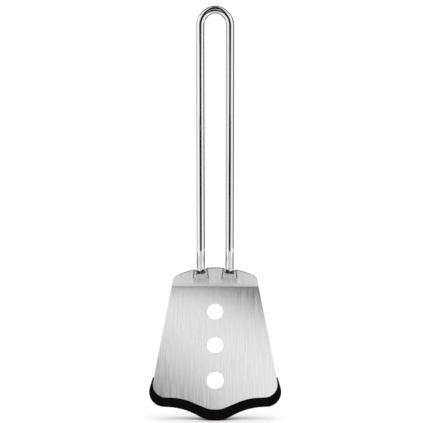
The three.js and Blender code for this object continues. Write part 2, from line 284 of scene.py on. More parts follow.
def mesh_object(name, vertices, faces, material):
    """A mesh object at the origin whose gentle edges are shaded smooth."""
    mesh = bpy.data.meshes.new(name)
    mesh.from_pydata(vertices, [], faces)
    mesh.materials.append(material)
    mesh.shade_smooth()
    mesh.set_sharp_from_angle(angle=SMOOTH_BELOW)
    return placed(name, mesh)


def path_tree(name, sizes):
    """A node tree that takes a path and named sizes and gives a mesh, with its input node."""
    tree = bpy.data.node_groups.new(name, "GeometryNodeTree")
    tree.interface.new_socket("Path", in_out="INPUT", socket_type="NodeSocketGeometry")
    for size, kind in sizes.items():
        tree.interface.new_socket(size, in_out="INPUT", socket_type=kind)
    tree.interface.new_socket("Mesh", in_out="OUTPUT", socket_type="NodeSocketGeometry")
    return tree, add(tree, "NodeGroupInput")


def end_tree(tree, geometry, material):
    """Ends a node tree in one plain mesh with its material."""
    whole = add(tree, "GeometryNodeRealizeInstances", {"Geometry": geometry})
    dressed = add(tree, "GeometryNodeSetMaterial", {"Geometry": whole, "Material": material})
    add(tree, "NodeGroupOutput", {"Mesh": dressed})


def grown_mesh(name, path, tree, values):
    """The plain mesh that a node tree grows along a path of points."""
    line = bpy.data.curves.new(name, "CURVE")
    line.dimensions = "3D"
    spline = line.splines.new("POLY")
    spline.points.add(len(path) - 1)
    for point, place in zip(spline.points, path):
        point.co = (*place, 1)
    source = placed(name + "_path", line)
    modifier = source.modifiers.new(name, "NODES")
    modifier.node_group = tree
    for item in tree.interface.items_tree:
        if item.name in values:
            modifier[item.identifier] = values[item.name]
    view = bpy.context.evaluated_depsgraph_get()
    mesh = bpy.data.meshes.new_from_object(
        source.evaluated_get(view), preserve_all_data_layers=True, depsgraph=view)
    bpy.data.objects.remove(source)
    bpy.data.curves.remove(line)
    mesh.shade_smooth()
    return placed(name, mesh)


def stands_for(piece, node):
    """The piece shows in place of a solid of the frame, which is hidden, and moves with the frame's body."""
    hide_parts(node)
    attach(piece, BODY)


# Layout that the pieces share

class Layout:
    """Places worked out from the settings. In the head's frame the panel lies in XZ and the fold along X."""

    def __init__(self, turner):
        wire, blade, hood = turner.wire, turner.blade, turner.hood
        self.turner = turner
        self.wire_radius = wire.diameter / 2
        self.half_sheet = blade.thickness / 2
        self.fold_turn = wire.neck_lean + blade.lean
        self.fold_tangent = blade.fold_radius * math.tan(self.fold_turn / 2)
        self.loop_foot = HOOK.z + self.wire_radius - wire.loop_rise
        self.neck_bend = self.loop_foot - wire.leg_length
        fold_y = wire.neck_length * math.sin(wire.neck_lean)
        fold_z = self.neck_bend - wire.neck_length * math.cos(wire.neck_lean)
        self.head = Matrix.Translation((0, fold_y, fold_z)) @ Matrix.Rotation(-blade.lean, 4, "X")
        self.hood_offset = wire.spacing_at_neck / 2
        self.hood_height = self.wire_radius + hood.mouth_gap + self.half_sheet
        self.mouth_height = self.arch_height(self.hood_offset)
        self.mouth_half_width = self.wire_radius + hood.wire_fit + self.half_sheet
        roof_share = (self.wire_radius + hood.wire_fit + blade.thickness) / self.hood_height
        self.wire_end = lerp(hood.foot_height, self.mouth_height, math.acos(1 - 2 * roof_share) / math.pi)

    def on_shoulder(self, across, out, up):
        """A point across the shoulder, out of its front and up from the fold, in the head's frame."""
        sine, cosine = math.sin(self.fold_turn), math.cos(self.fold_turn)
        return Vector((across, -up * sine - out * cosine, up * cosine - out * sine))

    def side_half_width(self, height):
        """Half the blade's width at a height above the fold, along the sheet."""
        blade = self.turner.blade
        return blade.fold_half_width - height * math.tan(blade.side_taper)

    def arch_height(self, across):
        """Height of the arched top above the fold."""
        blade = self.turner.blade
        return blade.shoulder_height - blade.arch_radius + math.sqrt(blade.arch_radius ** 2 - across ** 2)

    def hood_share(self, up):
        """How far a height lies between the hood's foot and its mouth."""
        foot = self.turner.hood.foot_height
        return min(max((up - foot) / (self.mouth_height - foot), 0), 1)


# Wire handle

LOOP_STEPS = 96
BEND_STEPS = 24
GRAIN = "grain"
WIRE_SMOOTH_BELOW = math.radians(40)


def wire_path(layout):
    """The wire's middle line, from its left end round the loop to its right end."""
    wire = layout.turner.wire

    def leg(side):
        neck_x = side * layout.hood_offset
        return rounded_run([
            (layout.head @ layout.on_shoulder(neck_x, 0, layout.wire_end), 0),
            (Vector((neck_x, 0, layout.neck_bend)), wire.neck_bend_radius),
            (Vector((side * wire.spacing_at_loop / 2, 0, layout.loop_foot)), 0),
        ], BEND_STEPS)

    loop = []
    for turn in spread(0, math.pi, LOOP_STEPS + 1)[1:-1]:
        across = -math.cos(turn) * wire.spacing_at_loop / 2
        loop.append(Vector((across, 0, layout.loop_foot + wire.loop_rise * math.sin(turn))))
    return leg(-1) + loop + leg(1)[::-1]


def drawn_wire_tree(material):
    """A node tree that draws a round bar along a path and keeps each point's place on the bar's skin."""
    tree, start = path_tree("Drawn wire", {"Radius": "NodeSocketFloat", "Sides": "NodeSocketInt"})
    run = add(tree, "GeometryNodeSplineParameter")
    along = add(tree, "GeometryNodeCaptureAttribute", {"Geometry": start.outputs["Path"]})
    along.capture_items.new("FLOAT", "Run")
    tree.links.new(run.outputs["Length"], along.inputs["Run"])
    circle = add(tree, "GeometryNodeCurvePrimitiveCircle", {
        "Resolution": start.outputs["Sides"], "Radius": start.outputs["Radius"]})
    place = add(tree, "GeometryNodeInputPosition")
    around = add(tree, "GeometryNodeCaptureAttribute", {"Geometry": circle})
    around.capture_items.new("VECTOR", "Round")
    tree.links.new(place.outputs["Position"], around.inputs["Round"])
    bar = add(tree, "GeometryNodeCurveToMesh", {"Curve": along, "Profile Curve": around, "Fill Caps": True})
    rise = add(tree, "ShaderNodeCombineXYZ", {"Z": along.outputs["Run"]})
    skin = add(tree, "ShaderNodeVectorMath", {0: around.outputs["Round"], 1: rise})
    grain = add(tree, "GeometryNodeStoreNamedAttribute", {"Geometry": bar, "Name": GRAIN},
                data_type="FLOAT_VECTOR")
    tree.links.new(skin.outputs["Vector"], grain.inputs["Value"])
    end_tree(tree, grain, material)
    return tree


def polished_wire_material(colour):
    """Polished stainless wire: a mirror with faint draw lines along the bar that soften it a little."""
    draw_line_width = 0.25 * MM
    draw_line_length = 18 * MM
    material, tree = blank_material("polished_stainless_wire")
    place = add(tree, "ShaderNodeAttribute", attribute_name=GRAIN)
    stretched = add(tree, "ShaderNodeMapping", {
        "Vector": place.outputs["Vector"],
        "Scale": (1 / draw_line_width, 1 / draw_line_width, 1 / draw_line_length),
    })
    lines = add(tree, "ShaderNodeTexNoise", {"Vector": stretched, "Scale": 1, "Detail": 3})
    gloss = add(tree, "ShaderNodeMapRange", {"Value": lines, **NOISE_RANGE, "To Min": 0.03, "To Max": 0.06})
    relief = add(tree, "ShaderNodeBump", {"Height": lines, "Strength": 0.015, "Distance": 0.02 * MM})
    steel = add(tree, "ShaderNodeBsdfPrincipled", {
        "Base Color": linear(colour), "Metallic": 1, "Roughness": gloss, "Normal": relief})
    add(tree, "ShaderNodeOutputMaterial", {"Surface": steel})
    return material


class TURNER_OT_wire(bpy.types.Operator):
    """Draws the polished wire handle along its bent path"""
    bl_idname = "turner.wire"
    bl_label = "Wire handle"

    def execute(self, context):
        turner = context.scene.turner
        layout = Layout(turner)
        tree = drawn_wire_tree(polished_wire_material(turner.finish.wire))
        values = {"Radius": layout.wire_radius, "Sides": turner.wire.sides}
        piece = grown_mesh("turner_wire", wire_path(layout), tree, values)
        piece.data.set_sharp_from_angle(angle=WIRE_SMOOTH_BELOW)
        stands_for(piece, "wire_handle")
        return {"FINISHED"}


# Blade

SHEET_UV = "sheet"
HOOD_ARC_STEPS = 8
HOOD_FLAT_STEPS = 5
LEAST_HOOD_RISE = 0.1 * MM
LEAST_HOOD_ARC = 0.15 * MM
SHOULDER_ROWS = 40
# Rounds in which a mouth's edge settles on the slanted arch.
MOUTH_ROUNDS = 6
FOLD_ROWS = 16
FLAT_STRIP = 0.5 * MM
MIDDLE_COLUMNS = 6
OUTER_COLUMNS = 22
HOLE_STEPS = 96
WAVE_STEPS = 24
EDGE_STEPS = 2


def hood_profile(layout, up):
    """The hood's cross-section at a height as (across, out) points from its inner to its outer edge."""
    hood = layout.turner.hood
    share = layout.hood_share(up)
    half_width = lerp(hood.foot_half_width, layout.mouth_half_width, share)
    rise = layout.hood_height * (1 - math.cos(math.pi * share)) / 2
    shape_rise = max(rise, LEAST_HOOD_RISE)
    run = lerp(hood.foot_run, hood.wall_run, math.sqrt(share))
    base = half_width + run / 2
    roof = half_width - run / 2
    least_radius = LEAST_HOOD_ARC / math.tan(math.atan2(shape_rise, run) / 2)
    base_radius, roof_radius = max(hood.base_radius, least_radius), max(hood.roof_radius, least_radius)
    corners = [(-base - hood.base_radius, 0, 0), (-base, 0, base_radius), (-roof, shape_rise, roof_radius)]
    corners += [(-across, out, radius) for across, out, radius in reversed(corners)]
    arcs = rounded_run([(Vector((across, out, 0)), radius) for across, out, radius in corners],
                       HOOD_ARC_STEPS)
    middle = len(arcs) // 2
    parts = spread(0, 1, HOOD_FLAT_STEPS)[1:-1]
    flat = [lerp(arcs[middle - 1], arcs[middle], part) for part in parts]
    profile = [*arcs[:middle], *flat, *arcs[middle:]]
    return [(layout.hood_offset + point.x, point.y * rise / shape_rise) for point in profile]


def crest_beyond(layout, start, count):
    """Points on the arched top and its rounded corner, from a distance across out to the blade's side."""
    blade = layout.turner.blade
    taper = blade.side_taper
    arch_centre = Vector((0, blade.shoulder_height - blade.arch_radius))
    outward = Vector((math.cos(taper), math.sin(taper)))
    side = Vector((-math.sin(taper), math.cos(taper)))
    foot = Vector((blade.fold_half_width, 0)) - outward * blade.corner_radius
    from_arch = foot - arch_centre
    nearest = -from_arch.dot(side)
    reach = (blade.arch_radius - blade.corner_radius) ** 2 - from_arch.length_squared + nearest ** 2
    centre = foot + side * (nearest + math.sqrt(reach))
    turn_over = math.atan2(*(centre - arch_centre).yx)
    first_turn = math.acos(start / blade.arch_radius)
    arch_run = blade.arch_radius * (first_turn - turn_over)
    corner_run = blade.corner_radius * (turn_over - taper)
    points = []
    for run in spread(0, arch_run + corner_run, count):
        if run < arch_run:
            middle, radius = arch_centre, blade.arch_radius
            turn = first_turn - run / radius
        else:
            middle, radius = centre, blade.corner_radius
            turn = turn_over - (run - arch_run) / radius
        points.append(middle + radius * Vector((math.cos(turn), math.sin(turn))))
    return points


def shoulder_half(layout):
    """Rows of (across, up, out) from the middle line to the right side, from the fold to the arched top."""
    base = layout.fold_tangent
    foot_row = hood_profile(layout, base)
    slant = math.tan(layout.turner.hood.mouth_slant)
    tops = []
    for at in range(len(foot_row)):
        top = layout.mouth_height
        for _ in range(MOUTH_ROUNDS):
            across, out = hood_profile(layout, top)[at]
            top = layout.arch_height(across) - slant * out
        tops.append(top)
    inner_top = hood_profile(layout, tops[0])[0][0]
    outer_top = hood_profile(layout, tops[-1])[-1][0]
    middle_shares = spread(0, 1, MIDDLE_COLUMNS + 1)[:-1]
    crest = crest_beyond(layout, outer_top, OUTER_COLUMNS + 1)[1:]
    outer_shares = spread(0, 1, OUTER_COLUMNS + 1)[1:]
    foot_outer = [lerp(foot_row[-1][0], layout.side_half_width(base), part) for part in outer_shares]
    rows = []
    for share in spread(0, 1, SHOULDER_ROWS + 1):
        hood_row = []
        for at, top in enumerate(tops):
            up = lerp(base, top, share)
            across, out = hood_profile(layout, up)[at]
            hood_row.append((across, up, out))
        row = []
        for part in middle_shares:
            row.append((hood_row[0][0] * part, lerp(base, layout.arch_height(inner_top * part), share), 0))
        row += hood_row
        shift = hood_row[-1][0] - lerp(foot_row[-1][0], outer_top, share)
        for foot, point, part in zip(foot_outer, crest, outer_shares):
            row.append((lerp(foot, point.x, share) + shift * (1 - part), lerp(base, point.y, share), 0))
        rows.append(row)
    return rows


def sheet_surface(layout):
    """The sheet's middle surface in the head's frame, and each point's place on the flat sheet."""
    turner = layout.turner
    surface = bmesh.new()
    places = []

    def point(co, across, along):
        places.append((across, along))
        return surface.verts.new(co)

    def both_sides(row, make):
        left = [make(-across, *rest) for across, *rest in row[:0:-1]]
        return left + [make(across, *rest) for across, *rest in row]

    half_rows = shoulder_half(layout)
    base, radius = layout.fold_tangent, turner.blade.fold_radius
    bend = [(-base - FLAT_STRIP, 0)]
    for step in range(FOLD_ROWS):
        bend.append((lerp(-base, base, step / FOLD_ROWS), layout.fold_turn * step / FOLD_ROWS))
    grid = []
    for height, turn in bend:
        widening = layout.side_half_width(height) / layout.side_half_width(base)
        y = radius * (math.cos(turn) - 1)
        z = min(height, -base) + radius * math.sin(turn)
        row = [(across * widening, height) for across, _, _ in half_rows[0]]
        grid.append(both_sides(row, lambda across, along: point((across, y, z), across, along)))
    for row in half_rows:
        grid.append(both_sides(
            row, lambda across, up, out: point(layout.on_shoulder(across, out, up), across, up)))
    for lower, upper in zip(grid, grid[1:]):
        for at in range(len(lower) - 1):
            surface.faces.new((lower[at], lower[at + 1], upper[at + 1], upper[at]))

    def ring(points):
        return [point((x, 0, z), x, z) for x, z in points]

    rim = ring([(place.x, place.z) for place in band_line(layout, turner.silicone.steel_share, 0)])
    loops = [grid[0][::-1] + rim]
    turns = spread(0, 2 * math.pi, HOLE_STEPS + 1)[:-1]
    for diameter, drop in zip(turner.blade.hole_diameters, turner.blade.hole_drops):
        radius = diameter / 2
        loops.append(ring([(radius * math.cos(turn), radius * math.sin(turn) - drop) for turn in turns]))
    edges = []
    for loop in loops:
        for first, second in zip(loop, loop[1:] + loop[:1]):
            edges.append(surface.edges.get((first, second)) or surface.edges.new((first, second)))
    bmesh.ops.triangle_fill(surface, edges=edges, use_beauty=True, normal=(0, -1, 0))
    surface.verts.index_update()
    surface.verts.ensure_lookup_table()
    surface.normal_update()
    return surface, places


def thickened(surface, places, thickness, edge_radius):
    """A plate on both sides of a surface, with rounded edges: its points, faces and places on the sheet."""
    half = thickness / 2
    outward = {}
    rims = []
    for edge in surface.edges:
        if edge.is_boundary:
            loop = edge.link_loops[0]
            first, second = loop.vert, loop.link_loop_next.vert
            away = (second.co - first.co).normalized().cross(loop.face.normal)
            rims.append((first.index, second.index))
            for corner in (first, second):
                outward[corner.index] = outward.get(corner.index, Vector()) + away
    points = []
    uvs = []

    def put(vertex, inset, lift):
        out = outward.get(vertex.index, Vector()).normalized()
        points.append(vertex.co - out * inset + vertex.normal * lift)
        uvs.append(places[vertex.index])
        return len(points) - 1

    front = [put(vertex, edge_radius, half) for vertex in surface.verts]
    back = [put(vertex, edge_radius, -half) for vertex in surface.verts]
    rounding = []
    for turn in spread(math.pi / 2, 0, EDGE_STEPS + 1)[1:]:
        rounding.append((edge_radius * (1 - math.cos(turn)), half - edge_radius * (1 - math.sin(turn))))
    rounding += [(inset, -lift) for inset, lift in reversed(rounding)]
    stacks = {}
    for index in outward:
        edge = [put(surface.verts[index], inset, lift) for inset, lift in rounding]
        stacks[index] = [front[index], *edge, back[index]]
    faces = []
    for face in surface.faces:
        corners = [vertex.index for vertex in face.verts]
        faces.append([front[at] for at in corners])
        faces.append([back[at] for at in reversed(corners)])
    for first, second in rims:
        near, far = stacks[first], stacks[second]
        for at in range(len(near) - 1):
            faces.append((far[at], near[at], near[at + 1], far[at + 1]))
    return points, faces, uvs


def brushed_sheet_material(colour):
    """Brushed stainless sheet: fine lines that stretch the light sideways, and shade painted into the colour
    in the creases.
    """
    # Real brush lines are about 0.1 mm wide. They are drawn wider so that they show from a step away.
    line_width = 1 * MM
    line_length = 24 * MM
    cloud_width = 7 * MM
    cloud_length = 60 * MM
    crease_shade_reach = 1.2 * MM
    material, tree = blank_material("brushed_stainless_sheet")
    place = add(tree, "ShaderNodeUVMap", uv_map=SHEET_UV)
    fine = add(tree, "ShaderNodeMapping", {"Vector": place, "Scale": (1 / line_width, 1 / line_length, 1)})
    lines = add(tree, "ShaderNodeTexNoise", {"Vector": fine, "Scale": 1, "Detail": 4, "Roughness": 0.6})
    broad = add(tree, "ShaderNodeMapping", {"Vector": place, "Scale": (1 / cloud_width, 1 / cloud_length, 1)})
    clouds = add(tree, "ShaderNodeTexNoise", {"Vector": broad, "Scale": 1, "Detail": 2})
    mixed = add(tree, "ShaderNodeMix", {"Factor": 0.08, "A": lines, "B": clouds})
    gloss = add(tree, "ShaderNodeMapRange", {"Value": mixed, **NOISE_RANGE, "To Min": 0.17, "To Max": 0.28})
    shade = add(tree, "ShaderNodeMapRange", {
        "Value": mixed, "From Min": 0.38, "From Max": 0.62, "To Min": 0.93, "To Max": 1.07})
    # Painted shade: the colour darkens in the creases, where the sheet hides itself within a short reach.
    hollow = add(tree, "ShaderNodeAmbientOcclusion", {"Distance": crease_shade_reach}, only_local=True)
    painted_crease_shade = add(tree, "ShaderNodeMapRange", {
        "Value": hollow.outputs["AO"], "From Min": 0.78, "From Max": 0.98, "To Min": 0.25, "To Max": 1})
    # Brush tone that differs at random, times the painted crease shade.
    brush_tone_and_crease_shade = add(tree, "ShaderNodeMath", {0: shade, 1: painted_crease_shade}, operation="MULTIPLY")
    tint = add(tree, "ShaderNodeVectorMath", {0: linear(colour)[:3], "Scale": brush_tone_and_crease_shade}, operation="SCALE")
    relief = add(tree, "ShaderNodeBump", {"Height": lines, "Strength": 0.12, "Distance": 0.03 * MM})
    across = add(tree, "ShaderNodeTangent", direction_type="UV_MAP", uv_map=SHEET_UV)
    steel = add(tree, "ShaderNodeBsdfPrincipled", {
        "Base Color": tint,
        "Metallic": 1,
        "Roughness": gloss,
        "Anisotropic": 0.75,
        "Tangent": across,
        "Normal": relief,
    })
    add(tree, "ShaderNodeOutputMaterial", {"Surface": steel})
    return material


class TURNER_OT_blade(bpy.types.Operator):
    """Presses the blade: panel, drain holes, fold, arched shoulder and hoods"""
    bl_idname = "turner.blade"
    bl_label = "Blade"

    def execute(self, context):
        turner = context.scene.turner
        layout = Layout(turner)
        surface, places = sheet_surface(layout)
        blade = turner.blade
        points, faces, uvs = thickened(surface, places, blade.thickness, blade.edge_radius)
        surface.free()
        material = brushed_sheet_material(turner.finish.blade)
        piece = mesh_object("turner_blade", [layout.head @ point for point in points], faces, material)
        layer = piece.data.uv_layers.new(name=SHEET_UV)
        for loop, uv in zip(piece.data.loops, layer.data):
            uv.uv = uvs[loop.vertex_index]
        stands_for(piece, "blade")
        return {"FINISHED"}


# Silicone edge

LIP_STEPS = 8


def band_line(layout, share, end_out):
    """A wavy line from the band's left end to its right end: share 0 is the steel's foot and 1 the lip."""
    blade, wave, silicone = layout.turner.blade, layout.turner.wave, layout.turner.silicone
    taper, flank, foot = blade.side_taper, wave.flank_angle, wave.foot_angle
    tip_z = -blade.steel_tip - wave.tip_radius * (1 / math.cos(flank) - 1)
    hip_z = tip_z + wave.hip_offset * math.tan(flank)
    run = (layout.side_half_width(hip_z) - wave.hip_offset) / (1 + math.tan(foot) * math.tan(taper))
    side_x = wave.hip_offset + run
    side_z = hip_z + run * math.tan(foot)
    climb = wave.corner_radius / math.tan((math.pi / 2 - taper + foot) / 2) + silicone.end_run
    end_x = side_x - climb * math.sin(taper)
    end_z = side_z + climb * math.cos(taper)
    half = [
        (wave.hip_offset, hip_z - share * silicone.band_at_hip,
         lerp(wave.hip_radius, silicone.hip_radius, share)),
        (side_x + share * silicone.overhang, side_z - share * silicone.band_at_corner,
         lerp(wave.corner_radius, silicone.corner_radius, share)),
        (end_x + end_out * math.cos(taper), end_z + end_out * math.sin(taper), 0),
    ]
    tip = (0, tip_z - share * silicone.band_at_tip, lerp(wave.tip_radius, silicone.tip_radius, share))
    left = [(-x, z, radius) for x, z, radius in reversed(half)]
    return rounded_run([(Vector((x, 0, z)), radius) for x, z, radius in [*left, tip, *half]], WAVE_STEPS)


def lip_section(layout, width, slot_depth, cover):
    """The band's section as (depth, out) points: a slot for the steel, soft shoulders and a round nose."""
    silicone = layout.turner.silicone
    thick = layout.half_sheet + cover
    thin = min(silicone.lip_thickness / 2, thick)
    slot_wall = layout.half_sheet + silicone.slot_gap
    soft = min(cover, slot_depth) / 2
    nose = min(thin, silicone.nose_share * (width - slot_depth))
    turns = spread(0, math.pi / 2, LIP_STEPS + 1)
    back = [(0, slot_wall)]
    back += [(soft * (1 - math.cos(turn)), thick - soft * (1 - math.sin(turn))) for turn in turns]
    back += [(width - nose * (1 - math.sin(turn)), thin * math.cos(turn)) for turn in turns[:-1]]
    front = [(depth, -out) for depth, out in back]
    return [*front, (width, 0), *back[::-1], (slot_depth, slot_wall), (slot_depth, -slot_wall)]


def band_rings(layout):
    """The band's sections along its wavy run, in the head's frame."""
    silicone = layout.turner.silicone
    foot_line = band_line(layout, 0, -silicone.end_lap)
    rim_line = band_line(layout, silicone.steel_share, 0)
    lip_line = band_line(layout, 1, silicone.end_overhang)
    widths = [(lip - foot).length for foot, lip in zip(foot_line, lip_line)]
    rings = []
    for foot, rim, lip, width in zip(foot_line, rim_line, lip_line, widths):
        share = (width - widths[0]) / (max(widths) - widths[0])
        cover = lerp(silicone.end_cover, silicone.cover, share)
        section = lip_section(layout, width, (rim - foot).length + silicone.slot_gap, cover)
        rings.append([lerp(foot, lip, depth / width) + Vector((0, out, 0)) for depth, out in section])
    return rings


def moulded_silicone_material(colour):
    """Moulded black silicone: a fine mould texture scatters the light, so the black stays deep and even."""
    grit = 0.35 * MM
    cloud = 12 * MM
    material, tree = blank_material("moulded_black_silicone")
    place = add(tree, "ShaderNodeTexCoord").outputs["Object"]
    texture = add(tree, "ShaderNodeTexNoise", {"Vector": place, "Scale": 1 / grit, "Detail": 2})
    handling = add(tree, "ShaderNodeTexNoise", {"Vector": place, "Scale": 1 / cloud, "Detail": 3})
    gloss = add(tree, "ShaderNodeMapRange", {"Value": handling, **NOISE_RANGE, "To Min": 0.5, "To Max": 0.62})
    relief = add(tree, "ShaderNodeBump", {"Height": texture, "Strength": 0.25, "Distance": 0.04 * MM})
    rubber = add(tree, "ShaderNodeBsdfPrincipled", {
        "Base Color": linear(colour),
        "Roughness": gloss,
        "IOR": 1.41,
        "Specular IOR Level": 0.08,
        "Normal": relief,
    })
    add(tree, "ShaderNodeOutputMaterial", {"Surface": rubber})
    return material


class TURNER_OT_silicone(bpy.types.Operator):
    """Moulds the silicone edge round the blade's wavy foot"""
    bl_idname = "turner.silicone"
    bl_label = "Silicone edge"

    def execute(self, context):
        turner = context.scene.turner
        layout = Layout(turner)
        rings = band_rings(layout)
        size = len(rings[0])
        last = (len(rings) - 1) * size
        faces = [list(range(size))[::-1], list(range(last, last + size))]
        for start in range(0, last, size):
            for at in range(size):
                here, after = start + at, start + (at + 1) % size
                faces.append((here, after, after + size, here + size))
        points = [layout.head @ point for ring in rings for point in ring]
        material = moulded_silicone_material(turner.finish.silicone)
        piece = mesh_object("turner_silicone_edge", points, faces, material)
        stands_for(piece, "silicone_edge")
        return {"FINISHED"}


# Welds

WELD_SIDE_STEPS = 40
WELD_BEND_STEPS = 80
WELD_BEND_SHARE = 0.6
WELD_SIDES = 28
# A high power keeps the bead full nearly to its ends, and the least swell closes them small.
WELD_END_POWER = 8
WELD_LEAST_SWELL = 0.04


def weld_path(layout, side):
    """A U round the wire's end on the back of the sheet, as the torch went round it."""
    weld = layout.turner.weld
    bead = weld.height
    half_width = layout.wire_radius + weld.reach - bead
    bottom = layout.wire_end - weld.below + bead
    top = layout.wire_end - weld.below + weld.run - bead
    bend = lerp(bottom, top, WELD_BEND_SHARE)
    left = [Vector((-half_width, height)) for height in spread(top, bend, WELD_SIDE_STEPS)[:-1]]
    foot = []
    for turn in spread(math.pi, 2 * math.pi, WELD_BEND_STEPS):
        foot.append(Vector((half_width * math.cos(turn), bend + (bend - bottom) * math.sin(turn))))
    right = [Vector((-place.x, place.y)) for place in left[::-1]]
    across, out = side * layout.hood_offset, -layout.half_sheet
    path = [layout.on_shoulder(across + place.x, out, place.y) for place in left + foot + right]
    return [layout.head @ place for place in path]


def weld_bead_tree(material):
    """A node tree that lays a bead along a path, with even ripples and rounded ends."""
    sizes = ("Radius", "Ripple spacing", "Ripple height")
    tree, start = path_tree("Weld bead", {size: "NodeSocketFloat" for size in sizes})
    run = add(tree, "GeometryNodeSplineParameter")
    count = add(tree, "ShaderNodeMath", {0: run.outputs["Length"], 1: start.outputs["Ripple spacing"]},
                operation="DIVIDE")
    turn = add(tree, "ShaderNodeMath", {0: count, 1: math.pi}, operation="MULTIPLY")
    wave = add(tree, "ShaderNodeMath", {0: turn}, operation="SINE")
    crest = add(tree, "ShaderNodeMath", {0: wave}, operation="ABSOLUTE")
    ripple = add(tree, "ShaderNodeMath", {0: crest, 1: start.outputs["Ripple height"], 2: 1},
                 operation="MULTIPLY_ADD")
    from_middle = add(tree, "ShaderNodeMath", {0: run.outputs["Factor"], 1: 2, 2: -1},
                      operation="MULTIPLY_ADD")
    steep = add(tree, "ShaderNodeMath", {0: from_middle, 1: WELD_END_POWER}, operation="POWER")
    taper = add(tree, "ShaderNodeMath", {0: 1, 1: steep}, operation="SUBTRACT")
    closed = add(tree, "ShaderNodeMath", {0: taper, 1: WELD_LEAST_SWELL}, operation="MAXIMUM")
    rounded = add(tree, "ShaderNodeMath", {0: closed}, operation="SQRT")
    swell = add(tree, "ShaderNodeMath", {0: ripple, 1: rounded}, operation="MULTIPLY")
    ring = add(tree, "GeometryNodeCurvePrimitiveCircle", {
        "Resolution": WELD_SIDES, "Radius": start.outputs["Radius"]})
    bead = add(tree, "GeometryNodeCurveToMesh", {
        "Curve": start.outputs["Path"],
        "Profile Curve": ring,
        "Scale": swell,
        "Fill Caps": True,
    })
    end_tree(tree, bead, material)
    return tree


def weld_metal_material(colour, heat_colour):
    """Cleaned weld metal: satin steel with the straw and brown patches that heat leaves."""
    patch = 2.5 * MM
    material, tree = blank_material("cleaned_weld_metal")
    place = add(tree, "ShaderNodeTexCoord").outputs["Object"]
    heat = add(tree, "ShaderNodeTexNoise", {"Vector": place, "Scale": 1 / patch, "Detail": 4})
    tint = add(tree, "ShaderNodeValToRGB", {"Fac": heat})
    for stop, position, shade in zip(tint.color_ramp.elements, (0.35, 0.6), (heat_colour, colour)):
        stop.position = position
        stop.color = linear(shade)
    relief = add(tree, "ShaderNodeBump", {"Height": heat, "Strength": 0.2, "Distance": 0.1 * MM})
    steel = add(tree, "ShaderNodeBsdfPrincipled", {
        "Base Color": tint, "Metallic": 1, "Roughness": 0.4, "Normal": relief})
    add(tree, "ShaderNodeOutputMaterial", {"Surface": steel})
    return material


class TURNER_OT_welds(bpy.types.Operator):
    """Lays a weld bead round each wire end, behind its hood"""
    bl_idname = "turner.welds"
    bl_label = "Welds"

    def execute(self, context):
        turner = context.scene.turner
        layout = Layout(turner)
        tree = weld_bead_tree(weld_metal_material(turner.finish.weld, turner.finish.heat))
        values = {
            "Radius": turner.weld.height,
            "Ripple spacing": turner.weld.ripple_spacing,
            "Ripple height": turner.weld.ripple_height,
        }
        for node, side in (("weld_left", -1), ("weld_right", 1)):
            piece = grown_mesh("turner_" + node, weld_path(layout, side), tree, values)
            stands_for(piece, node)
        return {"FINISHED"}


# Stage

FLOOR_HALF = 3
SHADOW_REACH = 0.5
CONTACT_REACH = 0.03
SURROUND_LIGHT = 0.86
LAMP_PLACE = Vector((0, 0.04, 1.2))
LAMP_SIZE = 1
LAMP_WATTS = 7
WHITE = (1, 1, 1, 1)


def card(name, strength, corners):
    """A flat studio card that shows only in reflections, from 0, black, to 1, as bright as the surround."""
    material, tree = blank_material(name)
    glow = add(tree, "ShaderNodeEmission", {"Color": WHITE, "Strength": strength})
    add(tree, "ShaderNodeOutputMaterial", {"Surface": glow})
    made = mesh_object(name, corners, [range(len(corners))], material)
    made.visible_camera = False
    made.visible_diffuse = False
    made.visible_transmission = False
    made.visible_shadow = False
    made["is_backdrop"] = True


def upright(azimuth, half_angle, distance, low, high):
    """Corners of an upright card round the turner: azimuth 0 is the front and 90 the right, in degrees."""
    turn = Matrix.Rotation(math.radians(azimuth), 3, "Z")
    half_width = distance * math.tan(math.radians(half_angle))
    corners = [(-half_width, low), (half_width, low), (half_width, high), (-half_width, high)]
    return [turn @ Vector((x, -distance, z)) for x, z in corners]


def level(height, places):
    """Corners of a level card, from (across, depth) places."""
    return [(x, y, height) for x, y in places]


def strip(height, front, back):
    """Corners of a level card that lies evenly across the middle, from two (half width, depth) ends."""
    (near, near_y), (far, far_y) = front, back
    return level(height, [(-near, near_y), (near, near_y), (far, far_y), (-far, far_y)])


def mirrored(layout, eye, distance, places):
    """Points before the blade that the eye sees mirrored at (across, along) places of the panel, in mm."""
    normal = layout.head.to_3x3() @ Vector((0, -1, 0))
    points = []
    for across, along in places:
        place = layout.head @ Vector((across * MM, 0, along * MM))
        look = (place - eye).normalized()
        points.append(place + (look - 2 * look.dot(normal) * normal) * distance)
    return points


